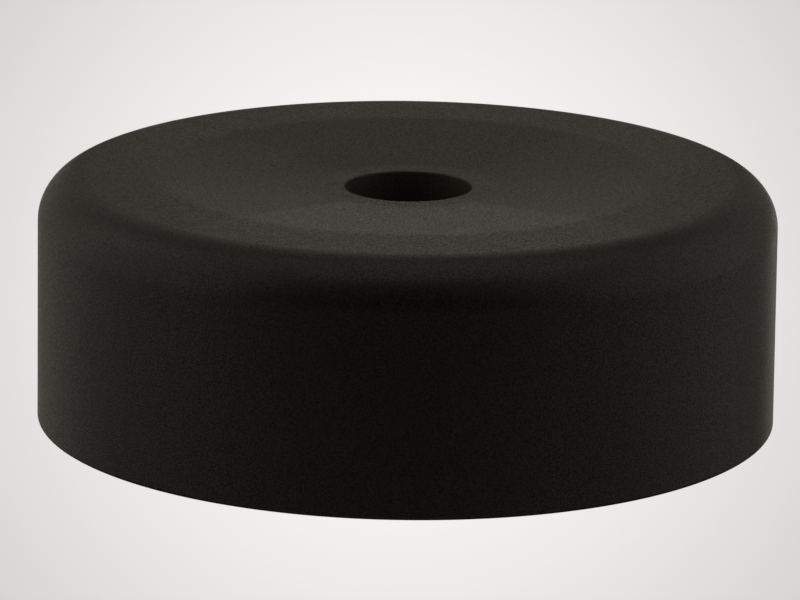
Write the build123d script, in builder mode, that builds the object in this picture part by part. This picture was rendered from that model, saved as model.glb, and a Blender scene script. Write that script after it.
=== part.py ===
from build123d import *
import os
from math import radians, tan

# Furniture glide: a solid round puck of black plastic, made in one piece.
# It stands on its flat base. The upper face is the running face: a flat
# ring-shaped land round a shallow cone that dips towards the bore. A large
# radius rolls the land over into the wall, and the wall widens a little
# towards the base, as a moulded part does to leave its mould. One plain bore
# for the fixing screw runs straight through.
# The origin is the middle of the base, and +Z points to the running face.

# Driving sizes, in millimetres and degrees
base_diameter = 38.0
height = 12.7
wall_draft = 0.35
shoulder_radius = 2.4
land_width = 3.75
dish_slope = 4.0
bore_diameter = 6.5
bore_rim_break = 0.05
base_rim_break = 0.1

# Sizes that follow from them
base_radius = base_diameter / 2
top_corner_radius = base_radius - height * tan(radians(wall_draft))
shoulder_reach = shoulder_radius * tan(radians(90 - wall_draft) / 2)
dish_radius = top_corner_radius - shoulder_reach - land_width
bore_radius = bore_diameter / 2
dish_depth = (dish_radius - bore_radius) * tan(radians(dish_slope))

with BuildPart() as glide:
    with BuildSketch(Plane.XZ) as half_section:
        # Half section with square corners, from the bore's wall outwards
        with BuildLine():
            Polyline(
                (bore_radius, 0),
                (base_radius, 0),
                (top_corner_radius, height),
                (dish_radius, height),
                (bore_radius, height - dish_depth),
                close=True,
            )
        make_face()

        # Both rims of the bore and the outer rim of the base are just broken
        bore_rims = half_section.vertices().group_by(Axis.X)[0]
        chamfer(bore_rims, length=bore_rim_break)
        base_rims = half_section.vertices().group_by(Axis.Y)[0]
        chamfer(base_rims.sort_by(Axis.X)[-1], length=base_rim_break)

        # The land rolls over into the wall
        land_rims = half_section.vertices().group_by(Axis.Y)[-1]
        fillet(land_rims.sort_by(Axis.X)[-1], radius=shoulder_radius)
    revolve(axis=Axis.Z)

glide.part.label = "glide"

os.makedirs("parts", exist_ok=True)
export_step(glide.part, "parts/glide.step")

print("volume mm3", round(glide.part.volume, 2))
print("box", glide.part.bounding_box())
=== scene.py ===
"""Looks for a round black furniture glide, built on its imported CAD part.

The glide is one moulding. Geometry Nodes draw its half section from the same
sizes as the CAD part, round its corners and turn it about the Z axis. All of
it carries the mould's fine grain, and the running face has two faint sectors
left by the flow of the melt. Lengths are in metres.
"""

import logging
import math
from dataclasses import dataclass
from enum import Enum

import bpy
from mathutils import Matrix, Vector

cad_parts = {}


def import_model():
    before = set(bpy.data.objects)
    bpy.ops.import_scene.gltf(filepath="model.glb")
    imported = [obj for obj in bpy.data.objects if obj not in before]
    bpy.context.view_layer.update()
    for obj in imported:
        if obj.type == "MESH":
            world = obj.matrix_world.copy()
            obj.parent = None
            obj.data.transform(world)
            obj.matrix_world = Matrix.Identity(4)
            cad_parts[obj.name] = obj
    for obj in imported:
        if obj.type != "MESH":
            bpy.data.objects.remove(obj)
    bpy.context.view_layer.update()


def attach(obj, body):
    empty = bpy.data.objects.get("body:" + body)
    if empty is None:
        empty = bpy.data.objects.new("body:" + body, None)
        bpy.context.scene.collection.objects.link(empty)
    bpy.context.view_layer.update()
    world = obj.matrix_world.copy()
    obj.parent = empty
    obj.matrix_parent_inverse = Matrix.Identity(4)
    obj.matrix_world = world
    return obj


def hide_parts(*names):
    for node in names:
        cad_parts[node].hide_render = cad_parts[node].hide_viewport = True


LOG = logging.getLogger("glide")
MM = 0.001

Colour = tuple[float, float, float]


class SocketKind(Enum):
    """The kinds of named input that a node tree can offer."""

    MEASURE = "NodeSocketFloat"
    COUNT = "NodeSocketInt"
    FINISH_AND_GLOW = "NodeSocketMaterial"
    SHAPE = "NodeSocketGeometry"


class Wire:
    """One output socket of a node, on which Python's operators add nodes."""

    def __init__(self, graph: "Graph", socket: bpy.types.NodeSocket) -> None:
        """Keeps the socket and the graph that it belongs to.

        Args:
            graph: The graph in which new nodes are made.
            socket: The output socket that this wire starts from.
        """
        self.graph = graph
        self.socket = socket

    def _maths(self, operation: str, *values: "Wire | float") -> "Wire":
        """Adds one Math node and returns its result."""
        inputs = dict(enumerate(values))
        return self.graph.node("ShaderNodeMath", {"operation": operation}, inputs)

    def __add__(self, other: "Wire | float") -> "Wire":
        """Adds a number or another wire."""
        return self._maths("ADD", self, other)

    def __radd__(self, other: float) -> "Wire":
        """Adds this wire to a number."""
        return self._maths("ADD", other, self)

    def __sub__(self, other: "Wire | float") -> "Wire":
        """Takes a number or another wire away."""
        return self._maths("SUBTRACT", self, other)

    def __rsub__(self, other: float) -> "Wire":
        """Takes this wire away from a number."""
        return self._maths("SUBTRACT", other, self)

    def __mul__(self, other: "Wire | float") -> "Wire":
        """Multiplies by a number or another wire."""
        return self._maths("MULTIPLY", self, other)

    def __rmul__(self, other: float) -> "Wire":
        """Multiplies a number by this wire."""
        return self._maths("MULTIPLY", other, self)

    def __truediv__(self, other: "Wire | float") -> "Wire":
        """Divides by a number or another wire."""
        return self._maths("DIVIDE", self, other)

    def __gt__(self, other: "Wire | float") -> "Wire":
        """Gives 1 where this wire is the greater, and 0 elsewhere."""
        return self._maths("GREATER_THAN", self, other)

    def __lt__(self, other: "Wire | float") -> "Wire":
        """Gives 1 where this wire is the smaller, and 0 elsewhere."""
        return self._maths("LESS_THAN", self, other)

    def __pow__(self, other: "Wire | float") -> "Wire":
        """Raises this wire to a power."""
        return self._maths("POWER", self, other)

    def tangent(self) -> "Wire":
        """Gives the tangent of this angle in radians."""
        return self._maths("TANGENT", self)

    def cosine(self) -> "Wire":
        """Gives the cosine of this angle in radians."""
        return self._maths("COSINE", self)

    def at_least(self, least: float) -> "Wire":
        """Keeps this wire from falling below a number."""
        return self._maths("MAXIMUM", self, least)

    def at_most(self, most: float) -> "Wire":
        """Keeps this wire from rising above a number."""
        return self._maths("MINIMUM", self, most)

    def clamped(self) -> "Wire":
        """Keeps this wire between 0 and 1."""
        return self.at_least(0.0).at_most(1.0)


class Graph:
    """A node tree with one method that makes any node."""

    def __init__(self, tree: bpy.types.NodeTree) -> None:
        """Empties the tree and keeps it.

        Args:
            tree: A shader tree or a Geometry Nodes tree.
        """
        self.tree = tree
        self.tree.nodes.clear()

    def make(
        self,
        kind: str,
        settings: dict[str, object] | None = None,
        inputs: dict[str | int, object] | None = None,
    ) -> bpy.types.Node:
        """Makes one node, sets its own settings first and then its sockets.

        Args:
            kind: The node's type, such as ShaderNodeMath.
            settings: The node's own properties.
            inputs: Values or wires for its input sockets, by name or number.

        Returns:
            The new node.
        """
        node = self.tree.nodes.new(kind)
        for name, value in (settings or {}).items():
            setattr(node, name, value)
        for key, value in (inputs or {}).items():
            self.feed(node.inputs[key], value)
        return node

    def node(
        self,
        kind: str,
        settings: dict[str, object] | None = None,
        inputs: dict[str | int, object] | None = None,
        output: str | int = 0,
    ) -> Wire:
        """Makes one node and returns a wire from one of its outputs.

        Args:
            kind: The node's type, such as ShaderNodeMath.
            settings: The node's own properties.
            inputs: Values or wires for its input sockets, by name or number.
            output: The output socket's name or number.

        Returns:
            The wire that starts at that output.
        """
        return Wire(self, self.make(kind, settings, inputs).outputs[output])

    def feed(self, socket: bpy.types.NodeSocket, value: object) -> None:
        """Links a wire to an input socket, or sets the socket's own value."""
        if isinstance(value, Wire):
            self.tree.links.new(value.socket, socket)
        else:
            socket.default_value = value

    def choose(self, kind: str, index: Wire, choices: list[object]) -> Wire:
        """Picks one of several values by a whole number.

        Args:
            kind: The values' data type, such as VECTOR.
            index: The number of the value to take.
            choices: The values or wires to choose from.

        Returns:
            The wire that carries the chosen value.
        """
        switch = self.make("GeometryNodeIndexSwitch", {"data_type": kind})
        while len(switch.index_switch_items) < len(choices):
            switch.index_switch_items.new()
        self.feed(switch.inputs["Index"], index)
        for number, choice in enumerate(choices):
            self.feed(switch.inputs[str(number)], choice)
        return Wire(self, switch.outputs[0])


@dataclass(frozen=True)
class FlowSector:
    """A faint sector of the running face that the melt filled last or first.

    Angles are in degrees round the Z axis, from X towards Y.
    """

    middle: float
    half_width: float
    roughness_change: float
    edge_width: float = 3.0

    def weight(self, graph: Graph, place: Wire) -> Wire:
        """Gives 1 inside the sector and 0 outside, with soft edges.

        Args:
            graph: The material's graph.
            place: The coordinates in metres, with the axis at the origin.

        Returns:
            The weight from 0 to 1.
        """
        turn = math.radians(self.middle)
        flat = graph.node(
            "ShaderNodeVectorMath",
            {"operation": "MULTIPLY"},
            {0: place, 1: (1.0, 1.0, 0.0)},
        )
        outward = graph.node("ShaderNodeVectorMath", {"operation": "NORMALIZE"}, {0: flat})
        cosine = graph.node(
            "ShaderNodeVectorMath",
            {"operation": "DOT_PRODUCT"},
            {0: outward, 1: (math.cos(turn), math.sin(turn), 0.0)},
            output="Value",
        )
        outer = math.cos(math.radians(self.half_width + self.edge_width / 2.0))
        inner = math.cos(math.radians(self.half_width - self.edge_width / 2.0))
        return graph.node(
            "ShaderNodeMapRange",
            {"interpolation_type": "SMOOTHSTEP"},
            {"Value": cosine, "From Min": outer, "From Max": inner},
        )


@dataclass(frozen=True)
class MouldedPlastic:
    """Black moulded plastic with a warm cast and the mould's fine grain."""

    name: str
    colour: Colour = (0.0214, 0.0155, 0.0108)
    roughness: float = 0.40
    roughness_spread: float = 0.04
    refraction: float = 1.5
    grain_size: float = 0.085 * MM
    grain_height: float = 0.010 * MM
    grain_contrast: float = 6.0
    grain_paleness: float = 0.0155
    grain_softness: float = 0.60
    waviness_size: float = 2.6 * MM
    waviness_contrast: float = 0.16
    sectors: tuple[FlowSector, ...] = ()

    def material(self) -> bpy.types.Material:
        """Builds the plastic as a material on Object coordinates.

        Returns:
            The new material.
        """
        made = bpy.data.materials.new(self.name)
        made.use_nodes = True
        made.diffuse_color = (*self.colour, 1.0)
        graph = Graph(made.node_tree)
        place = graph.node("ShaderNodeTexCoord", output="Object")
        cloud = self._noise(graph, place, self.waviness_size, 3.0)
        grain = self._noise(graph, place, self.grain_size, 1.0)

        colour = self._grained_colour(graph, grain)
        tone = 1.0 + (cloud - 0.5) * self.waviness_contrast
        colour = graph.node(
            "ShaderNodeVectorMath",
            {"operation": "SCALE"},
            {0: colour, "Scale": tone},
        )
        roughness = self.roughness + (cloud - 0.5) * self.roughness_spread
        roughness = roughness + (0.5 - grain) * self.grain_softness
        for sector in self.sectors:
            roughness = roughness + sector.weight(graph, place) * sector.roughness_change
        bump = graph.node(
            "ShaderNodeBump",
            inputs={
                "Strength": 1.0,
                "Distance": MM,
                "Height": grain * (self.grain_height / MM),
            },
        )
        shader = graph.node(
            "ShaderNodeBsdfPrincipled",
            inputs={
                "Base Color": colour,
                "Roughness": roughness.clamped(),
                "IOR": self.refraction,
                "Normal": bump,
            },
        )
        graph.make("ShaderNodeOutputMaterial", inputs={"Surface": shader})
        return made

    def _grained_colour(self, graph: Graph, grain: Wire) -> Wire:
        """Makes the grain's tips a little paler than its pits, in a neutral grey.

        Args:
            graph: The material's graph.
            grain: The grain's height from 0 to 1.

        Returns:
            The colour over the surface.
        """
        pits = [max(value - self.grain_paleness, 0.0) for value in self.colour]
        tips = [value + self.grain_paleness for value in self.colour]
        share = ((grain - 0.5) * self.grain_contrast + 0.5).clamped()
        return graph.node(
            "ShaderNodeMix",
            {"data_type": "RGBA"},
            {0: share, 6: (*pits, 1.0), 7: (*tips, 1.0)},
            output=2,
        )

    def _noise(
        self, graph: Graph, place: Wire, size: float, detail: float
    ) -> Wire:
        """Adds a soft noise whose marks are about one size across.

        Args:
            graph: The material's graph.
            place: The coordinates in metres.
            size: The marks' size in metres.
            detail: How many finer layers are laid over the first.

        Returns:
            A value from 0 to 1, with 0.5 in the middle.
        """
        inputs = {"Vector": place, "Scale": 1.0 / size, "Detail": detail}
        return graph.node("ShaderNodeTexNoise", inputs=inputs)


@dataclass(frozen=True)
class Corner:
    """One corner of the half section, as wires, with its rounding."""

    place: Wire
    rounding: Wire
    steps: int


@dataclass
class Glide:
    """The glide, turned from its half section by Geometry Nodes."""

    base_diameter: float = 38.0 * MM
    height: float = 12.7 * MM
    wall_draft: float = math.radians(0.35)
    shoulder_radius: float = 2.4 * MM
    land_width: float = 3.75 * MM
    dish_slope: float = math.radians(4.6)
    bore_ring_width: float = 1.3 * MM
    bore_diameter: float = 6.5 * MM
    bore_rim_rounding: float = 0.08 * MM
    base_rim_rounding: float = 0.1 * MM
    dish_edge_rounding: float = 8.0 * MM
    bore_ring_rounding: float = 9.0 * MM
    support_distance: float = 0.06 * MM
    steps_round: int = 512
    bore_foot_steps: int = 3
    rim_steps: int = 4
    shoulder_steps: int = 40
    faint_edge_steps: int = 8
    slope_margin: float = math.radians(0.3)
    running_face: MouldedPlastic = MouldedPlastic(
        name="running_face_plastic",
        roughness=0.44,
        sectors=(
            FlowSector(middle=272.0, half_width=44.0, roughness_change=-0.0387),
            FlowSector(middle=93.0, half_width=45.0, roughness_change=0.0211),
        ),
    )
    side: MouldedPlastic = MouldedPlastic(name="side_plastic")
    # Painted light: the bore is the same plastic painted paler, a painted glow that brightens
    # the dark hole; its roughness is its own.
    bore: MouldedPlastic = MouldedPlastic(
        name="bore_plastic_painted_glow",
        colour=(0.055, 0.044, 0.037),
        roughness=0.55,
    )

    def build(self) -> bpy.types.Object:
        """Turns the glide, dresses it and tells the frame what it stands for.

        Returns:
            The finished mesh object.
        """
        holder = bpy.data.meshes.new("glide_section")
        piece = bpy.data.objects.new("moulded_glide", holder)
        bpy.context.scene.collection.objects.link(piece)
        modifier = piece.modifiers.new("turned section", "NODES")
        modifier.node_group = self._turning_tree()
        self._set_sizes(modifier)
        self._make_plain(piece)
        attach(piece, "root")
        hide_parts("glide")
        return piece

    def _sizes(self) -> dict[str, tuple[SocketKind, object]]:
        """Lists the tree's named inputs with their kinds and values."""
        measure = SocketKind.MEASURE
        return {
            "Base Diameter": (measure, self.base_diameter),
            "Height": (measure, self.height),
            "Wall Draft": (measure, self.wall_draft),
            "Shoulder Radius": (measure, self.shoulder_radius),
            "Land Width": (measure, self.land_width),
            "Dish Slope": (measure, self.dish_slope),
            "Bore Diameter": (measure, self.bore_diameter),
            "Bore Rim Rounding": (measure, self.bore_rim_rounding),
            "Base Rim Rounding": (measure, self.base_rim_rounding),
            "Dish Edge Rounding": (measure, self.dish_edge_rounding),
            "Bore Ring Width": (measure, self.bore_ring_width),
            "Bore Ring Rounding": (measure, self.bore_ring_rounding),
            "Support Distance": (measure, self.support_distance),
            "Steps Round": (SocketKind.COUNT, self.steps_round),
            "Running Face Finish": (SocketKind.FINISH_AND_GLOW, self.running_face),
            "Side Finish": (SocketKind.FINISH_AND_GLOW, self.side),
            # The bore's material is the paler plastic that paints a glow into the hole.
            "Bore Painted Glow": (SocketKind.FINISH_AND_GLOW, self.bore),
        }

    def _set_sizes(self, modifier: bpy.types.Modifier) -> None:
        """Sets every named input of the modifier by its socket's identifier."""
        sizes = self._sizes()
        for item in modifier.node_group.interface.items_tree:
            if item.in_out != "INPUT" or item.name not in sizes:
                continue
            kind, value = sizes[item.name]
            if kind is SocketKind.FINISH_AND_GLOW:
                value = value.material()
            modifier[item.identifier] = value

    def _turning_tree(self) -> bpy.types.NodeTree:
        """Builds the tree that draws the half section and turns it.

        Returns:
            The Geometry Nodes tree.
        """
        tree = bpy.data.node_groups.new("turned moulding", "GeometryNodeTree")
        for name, (kind, _) in self._sizes().items():
            tree.interface.new_socket(
                name=name, in_out="INPUT", socket_type=kind.value
            )
        tree.interface.new_socket(
            name="Geometry", in_out="OUTPUT", socket_type=SocketKind.SHAPE.value
        )
        graph = Graph(tree)
        group = graph.make("NodeGroupInput")
        given = {name: Wire(graph, group.outputs[name]) for name in self._sizes()}
        outline = self._outline(graph, given)
        turned = self._turned(graph, given, outline)
        dressed = self._dressed(graph, given, turned)
        whole = graph.node("GeometryNodeRealizeInstances", inputs={0: dressed})
        graph.make("NodeGroupOutput", inputs={0: whole})
        return tree

    def _corners(self, graph: Graph, given: dict[str, Wire]) -> list[Corner]:
        """Works out the section's six corners, from the bore's foot outwards.

        The dish is a cone between the land and a narrow flat ring that runs
        round the bore.

        Args:
            graph: The tree's graph.
            given: The tree's named inputs.

        Returns:
            The corners, with the radius along X and the height along Y.
        """
        height = given["Height"]
        base_radius = given["Base Diameter"] / 2.0
        bore_radius = given["Bore Diameter"] / 2.0
        shoulder = given["Shoulder Radius"]
        top_radius = base_radius - height * given["Wall Draft"].tangent()
        half_turn = (math.pi / 2 - given["Wall Draft"]) / 2.0
        land_edge = top_radius - shoulder * half_turn.tangent()
        dish_radius = land_edge - given["Land Width"]
        ring_radius = bore_radius + given["Bore Ring Width"]
        ring_level = height - (dish_radius - ring_radius) * given["Dish Slope"].tangent()
        bore_rim = given["Bore Rim Rounding"]

        def corner(radius: Wire, level: object, rounding: Wire, steps: int) -> Corner:
            """Makes one corner from its radius and its height."""
            inputs = {"X": radius, "Y": level}
            place = graph.node("ShaderNodeCombineXYZ", inputs=inputs)
            return Corner(place, rounding, steps)

        return [
            corner(bore_radius, 0.0, bore_rim, self.bore_foot_steps),
            corner(base_radius, 0.0, given["Base Rim Rounding"], self.rim_steps),
            corner(top_radius, height, shoulder, self.shoulder_steps),
            corner(dish_radius, height, given["Dish Edge Rounding"], self.faint_edge_steps),
            corner(ring_radius, ring_level, given["Bore Ring Rounding"], self.faint_edge_steps),
            corner(bore_radius, ring_level, bore_rim, self.rim_steps),
        ]

    def _outline(self, graph: Graph, given: dict[str, Wire]) -> Wire:
        """Draws the closed half section with rounded corners.

        A support point stands just past each end of every rounding, so that
        the flat stretches between them shade flat.

        Args:
            graph: The tree's graph.
            given: The tree's named inputs.

        Returns:
            The section's curve.
        """
        corners = self._corners(graph, given)
        margin = given["Support Distance"]
        places: list[object] = []
        roundings: list[object] = []
        steps: list[object] = []
        for number, here in enumerate(corners):
            before = corners[number - 1]
            after = corners[(number + 1) % len(corners)]
            backwards = self._direction(graph, here.place, before.place)
            forwards = self._direction(graph, here.place, after.place)
            reach = here.rounding * self._half_turn(graph, backwards, forwards)
            stand_off = reach + margin
            places.append(self._along(graph, here.place, backwards, stand_off))
            places.append(here.place)
            places.append(self._along(graph, here.place, forwards, stand_off))
            roundings += [0.0, here.rounding, 0.0]
            steps += [1, here.steps, 1]
        index = graph.node("GeometryNodeInputIndex")
        ring = graph.node(
            "GeometryNodeCurvePrimitiveCircle",
            {"mode": "RADIUS"},
            {"Resolution": len(places), "Radius": 1.0},
        )
        drawn = graph.node(
            "GeometryNodeSetPosition",
            inputs={
                "Geometry": ring,
                "Position": graph.choose("VECTOR", index, places),
            },
        )
        return graph.node(
            "GeometryNodeFilletCurve",
            {"mode": "POLY"},
            {
                "Curve": drawn,
                "Count": graph.choose("INT", index, steps),
                "Radius": graph.choose("FLOAT", index, roundings),
                "Limit Radius": False,
            },
        )

    def _direction(self, graph: Graph, start: Wire, end: Wire) -> Wire:
        """Gives the unit vector from one point towards another."""
        step = graph.node(
            "ShaderNodeVectorMath", {"operation": "SUBTRACT"}, {0: end, 1: start}
        )
        return graph.node("ShaderNodeVectorMath", {"operation": "NORMALIZE"}, {0: step})

    def _half_turn(self, graph: Graph, backwards: Wire, forwards: Wire) -> Wire:
        """Gives the tangent of half the angle by which the outline turns.

        Args:
            graph: The tree's graph.
            backwards: The unit vector to the corner before.
            forwards: The unit vector to the corner after.

        Returns:
            How far a rounding of radius one reaches along either side.
        """
        cosine = graph.node(
            "ShaderNodeVectorMath",
            {"operation": "DOT_PRODUCT"},
            {0: backwards, 1: forwards},
            output="Value",
        )
        return ((1.0 + cosine) / (1.0 - cosine)) ** 0.5

    def _along(self, graph: Graph, start: Wire, way: Wire, distance: Wire) -> Wire:
        """Gives the point that lies a distance along a way from the start."""
        step = graph.node(
            "ShaderNodeVectorMath",
            {"operation": "SCALE"},
            {0: way, "Scale": distance},
        )
        return graph.node(
            "ShaderNodeVectorMath", {"operation": "ADD"}, {0: start, 1: step}
        )

    def _turned(self, graph: Graph, given: dict[str, Wire], outline: Wire) -> Wire:
        """Turns the section about the Z axis.

        The section is swept round a circle of the base's radius. The sweep
        lays the section's X outwards and its Y downwards, so the section is
        shifted in by that radius and turned over first.

        Args:
            graph: The tree's graph.
            given: The tree's named inputs.
            outline: The section's curve.

        Returns:
            The closed, smoothly shaded mesh.
        """
        path_radius = given["Base Diameter"] / 2.0
        shift = graph.node("ShaderNodeCombineXYZ", inputs={"X": 0.0 - path_radius})
        moved = graph.node(
            "GeometryNodeTransform",
            inputs={
                "Geometry": outline,
                "Translation": shift,
                "Scale": (1.0, -1.0, 1.0),
            },
        )
        path = graph.node(
            "GeometryNodeCurvePrimitiveCircle",
            {"mode": "RADIUS"},
            {"Resolution": given["Steps Round"], "Radius": path_radius},
        )
        upright = graph.node(
            "GeometryNodeSetCurveNormal", {"mode": "Z_UP"}, {"Curve": path}
        )
        swept = graph.node(
            "GeometryNodeCurveToMesh",
            inputs={"Curve": upright, "Profile Curve": moved},
        )
        outward = graph.node("GeometryNodeFlipFaces", inputs={"Mesh": swept})
        return graph.node(
            "GeometryNodeSetShadeSmooth",
            inputs={"Geometry": outward, "Shade Smooth": True},
        )

    def _dressed(self, graph: Graph, given: dict[str, Wire], turned: Wire) -> Wire:
        """Gives the running face its finish, the bore a paler plastic as a painted glow, and
        the rest the side's.

        The running face is all that slopes no more than the dish does. The
        bore's painted glow starts halfway over the rounding of its rims.

        Args:
            graph: The tree's graph.
            given: The tree's named inputs.
            turned: The turned mesh.

        Returns:
            The mesh with the running face's and the side's plastics and the bore's painted
            glow.
        """
        normal = graph.node("GeometryNodeInputNormal")
        split = graph.make("ShaderNodeSeparateXYZ", inputs={0: normal})
        upward = Wire(graph, split.outputs["Z"])
        place = graph.node("GeometryNodeInputPosition")
        flat = graph.node(
            "ShaderNodeVectorMath",
            {"operation": "MULTIPLY"},
            {0: place, 1: (1.0, 1.0, 0.0)},
        )
        reach = graph.node(
            "ShaderNodeVectorMath", {"operation": "LENGTH"}, {0: flat}, output="Value"
        )
        bore_reach = (given["Bore Diameter"] + given["Bore Rim Rounding"]) / 2.0
        steepest = (given["Dish Slope"] + self.slope_margin).cosine()
        finishes_and_painted_glow = [
            ("Side Finish", True),
            ("Running Face Finish", upward > steepest),
            # The bore gets the paler plastic, a painted glow in the hole.
            ("Bore Painted Glow", reach < bore_reach),
        ]
        dressed = turned
        for name, where in finishes_and_painted_glow:
            dressed = graph.node(
                "GeometryNodeSetMaterial",
                inputs={"Geometry": dressed, "Selection": where, "Material": given[name]},
            )
        return dressed

    def _make_plain(self, piece: bpy.types.Object) -> None:
        """Turns the modifier's result into the object's own mesh."""
        result = piece.evaluated_get(bpy.context.evaluated_depsgraph_get())
        mesh = bpy.data.meshes.new_from_object(result)
        piece.modifiers.clear()
        holder = piece.data
        piece.data = mesh
        mesh.name = "moulded_glide"
        bpy.data.meshes.remove(holder)
        LOG.info("glide: %d vertices, %d faces", len(mesh.vertices), len(mesh.polygons))


@dataclass(frozen=True)
class SoftPanel:
    """One large soft panel of the light tent, facing the glide.

    Its place and its reach to either side are angles in degrees, seen from
    the glide, and its radiance is what the glide mirrors.
    """

    name: str
    azimuth: float
    elevation: float
    half_width: float
    half_height: float
    radiance: float
    distance: float = 0.6

    def build(self, colour: Colour, aim: Vector) -> bpy.types.Object:
        """Makes the panel as an area light.

        Args:
            colour: The light's colour.
            aim: The point that the panel faces.

        Returns:
            The light's object.
        """
        turn = math.radians(self.azimuth)
        rise = math.radians(self.elevation)
        across = Vector((-math.sin(turn), math.cos(turn), 0.0))
        level = Vector((math.cos(turn), math.sin(turn), 0.0))
        away = level * math.cos(rise) + Vector((0.0, 0.0, math.sin(rise)))
        upright = away.cross(across)
        width = self._span(self.half_width)
        height = self._span(self.half_height)
        light = bpy.data.lights.new(self.name, "AREA")
        light.shape = "RECTANGLE"
        light.size = width
        light.size_y = height
        light.color = colour
        light.energy = math.pi * width * height * self.radiance
        panel = bpy.data.objects.new(self.name, light)
        turned = Matrix((across, upright, away)).transposed().to_4x4()
        panel.matrix_world = Matrix.Translation(aim + away * self.distance) @ turned
        panel.visible_camera = False
        bpy.context.scene.collection.objects.link(panel)
        return panel

    def _span(self, half_angle: float) -> float:
        """Gives the length that reaches half an angle to either side, in metres."""
        return 2.0 * self.distance * math.tan(math.radians(half_angle))


@dataclass
class LightTent:
    """Soft studio light: bright sides, a paler top, a dim back, a dark front.

    The camera sees pale surroundings, while the glide is lit by the panels
    and by a dim glow from all round.
    """

    colour: Colour = (1.082, 1.030, 0.889)
    surroundings: Colour = (0.612, 0.593, 0.587)
    fill: float = 0.0178
    aim_height: float = 6.0 * MM
    panels: tuple[SoftPanel, ...] = (
        SoftPanel("back_left_panel", 124.3, 29.1, 27.2, 21.2, 0.162),
        SoftPanel("back_right_panel", 26.9, 12.2, 53.0, 31.1, 0.155),
        SoftPanel("low_back_panel", 89.5, -36.3, 7.0, 52.6, 0.385),
        SoftPanel("back_panel", 86.7, 32.8, 8.3, 4.8, 0.453),
        SoftPanel("top_panel", 114.1, 88.7, 33.6, 28.9, 0.262),
        SoftPanel("left_panel", 180.8, 18.2, 36.9, 36.0, 0.305),
        SoftPanel("right_panel", 356.1, 21.8, 41.4, 41.0, 0.156),
        SoftPanel("low_left_panel", 124.8, -7.9, 23.7, 16.9, 0.235),
        SoftPanel("low_right_panel", 84.1, -18.6, 19.6, 13.9, 0.482),
        SoftPanel("low_front_panel", 269.1, -31.9, 53.5, 5.0, 0.462),
    )

    def build(self) -> None:
        """Makes the panels and the dim surroundings."""
        aim = Vector((0.0, 0.0, self.aim_height))
        for panel in self.panels:
            panel.build(self.colour, aim)
            LOG.info("light: %s", panel.name)
        world = bpy.data.worlds.new("dim_surroundings")
        world.use_nodes = True
        graph = Graph(world.node_tree)
        glow = graph.node(
            "ShaderNodeBackground",
            inputs={"Color": (*self.colour, 1.0), "Strength": self.fill},
        )
        backdrop = graph.node(
            "ShaderNodeBackground",
            inputs={"Color": (*self.surroundings, 1.0), "Strength": 1.0},
        )
        seen = graph.node("ShaderNodeLightPath", output="Is Camera Ray")
        both = graph.node("ShaderNodeMixShader", inputs={0: seen, 1: glow, 2: backdrop})
        graph.make("ShaderNodeOutputWorld", inputs={"Surface": both})
        bpy.context.scene.world = world


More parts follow.
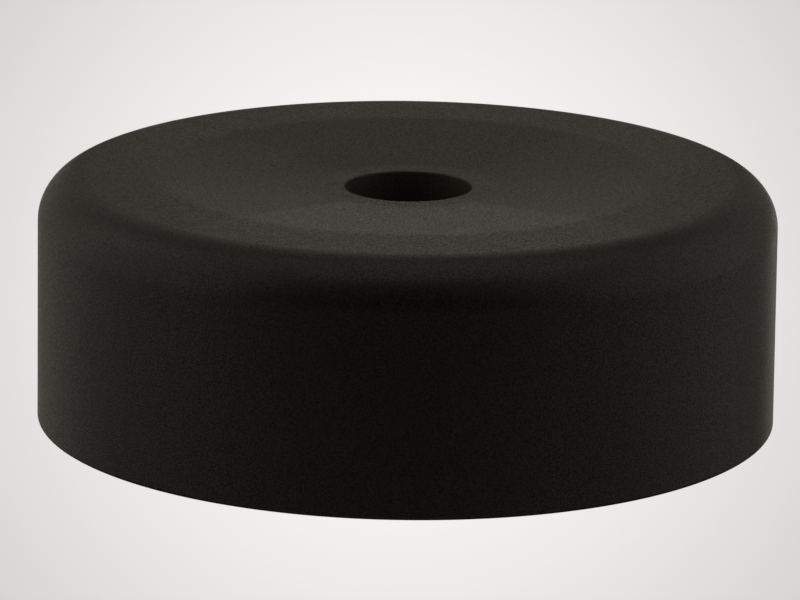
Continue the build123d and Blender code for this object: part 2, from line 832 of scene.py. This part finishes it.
@dataclass
class PaleFloor:
    """A plain pale floor under a long oval pool of light with soft edges.

    The pool widens with distance behind the glide, as one thrown from the
    front does, and fades faster at its two ends than at its sides. Seen from
    below, the floor lets the glide's base show.
    """

    colour: Colour = (0.978, 0.947, 0.938)
    pool_centre: tuple[float, float] = (-0.36 * MM, 22.67 * MM)
    pool_width: float = 22.39 * MM
    pool_depth: float = 87.51 * MM
    widening: float = 3.208
    least_spread: float = 0.2
    falloff: tuple[float, float] = (0.2675, 0.0478)
    end_start: float = 0.64
    end_falloff: float = 4.0
    level: float = -0.01 * MM
    size: float = 20.0

    def build(self) -> bpy.types.Object:
        """Makes the floor as one flat square.

        Returns:
            The floor's object.
        """
        half = self.size / 2.0
        corners = [
            (-half, -half, self.level),
            (half, -half, self.level),
            (half, half, self.level),
            (-half, half, self.level),
        ]
        mesh = bpy.data.meshes.new("pale_floor")
        mesh.from_pydata(corners, [], [(0, 1, 2, 3)])
        mesh.materials.append(self._material())
        floor = bpy.data.objects.new("pale_floor", mesh)
        bpy.context.scene.collection.objects.link(floor)
        floor.visible_diffuse = False
        floor.visible_glossy = False
        floor.visible_shadow = False
        return floor

    def _material(self) -> bpy.types.Material:
        """Builds the floor's glow, bright in the pool and a little dimmer beyond."""
        made = bpy.data.materials.new("pale_floor")
        made.use_nodes = True
        graph = Graph(made.node_tree)
        place = graph.node("ShaderNodeTexCoord", output="Object")
        split = graph.make("ShaderNodeSeparateXYZ", inputs={0: place})
        beside = Wire(graph, split.outputs["X"]) - self.pool_centre[0]
        behind = Wire(graph, split.outputs["Y"]) - self.pool_centre[1]
        spread = (1.0 + behind * self.widening).at_least(self.least_spread)
        across = beside / spread / self.pool_width
        along = behind / spread / self.pool_depth
        lengthwise = along * along
        past_end = (lengthwise - self.end_start).at_least(0.0)
        near, far = self.falloff
        rim = near / (2.0 * far)
        reach = across * across + lengthwise + past_end * past_end * self.end_falloff
        reach = reach.at_most(rim)
        tone = 1.0 - reach * near + reach * reach * far
        colour = graph.node(
            "ShaderNodeVectorMath",
            {"operation": "SCALE"},
            {0: self.colour, "Scale": tone},
        )
        glow = graph.node(
            "ShaderNodeEmission", inputs={"Color": colour, "Strength": 1.0}
        )
        clear = graph.node("ShaderNodeBsdfTransparent")
        from_below = graph.node("ShaderNodeNewGeometry", output="Backfacing")
        shown = graph.node("ShaderNodeMixShader", inputs={0: from_below, 1: glow, 2: clear})
        graph.make("ShaderNodeOutputMaterial", inputs={"Surface": shown})
        return made


@dataclass
class PhotoCamera:
    """The camera at the photograph's viewing angle."""

    distance: float = 277.87 * MM
    elevation: float = math.radians(14.81)
    roll: float = math.radians(-0.742)
    focal_pixels: float = 5399.0
    image_width: float = 800.0
    sensor_width: float = 36.0
    glide_from_centre: tuple[float, float] = (6.85, 6.54)
    middle_height: float = 6.35 * MM
    nearest: float = 0.01
    farthest: float = 20.0

    def build(self) -> bpy.types.Object:
        """Makes the camera and hands it to the scene.

        The glide stands a little off the picture's centre, so the camera aims
        beside the glide by that much.

        Returns:
            The camera's object.
        """
        backwards = Vector((0.0, -math.cos(self.elevation), math.sin(self.elevation)))
        level_right = Vector((1.0, 0.0, 0.0))
        level_up = backwards.cross(level_right)
        cosine = math.cos(self.roll)
        sine = math.sin(self.roll)
        right = level_right * cosine - level_up * sine
        up = level_right * sine + level_up * cosine
        aim = Vector((0.0, 0.0, self.middle_height))
        place = aim + backwards * self.distance
        pixel = self.distance / self.focal_pixels
        offset_x, offset_y = self.glide_from_centre
        target = aim - right * (offset_x * pixel) - up * (offset_y * pixel)
        away = (place - target).normalized()
        right = (right - away * right.dot(away)).normalized()
        up = away.cross(right)

        lens = bpy.data.cameras.new("photo_camera")
        lens.sensor_width = self.sensor_width
        lens.lens = self.focal_pixels * self.sensor_width / self.image_width
        lens.clip_start = self.nearest
        lens.clip_end = self.farthest
        camera = bpy.data.objects.new("photo_camera", lens)
        turned = Matrix((right, up, away)).transposed().to_4x4()
        camera.matrix_world = Matrix.Translation(place) @ turned
        bpy.context.scene.collection.objects.link(camera)
        bpy.context.scene.camera = camera
        return camera


def main() -> None:
    """Builds the glide and its studio in order."""
    logging.basicConfig(level=logging.INFO, format="%(name)s %(message)s")
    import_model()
    bpy.context.scene.view_settings.view_transform = "Standard"
    piece = Glide().build()
    LOG.info("piece: %s", piece.name)
    PaleFloor().build()
    LightTent().build()
    PhotoCamera().build()


if __name__ == "__main__":
    main()
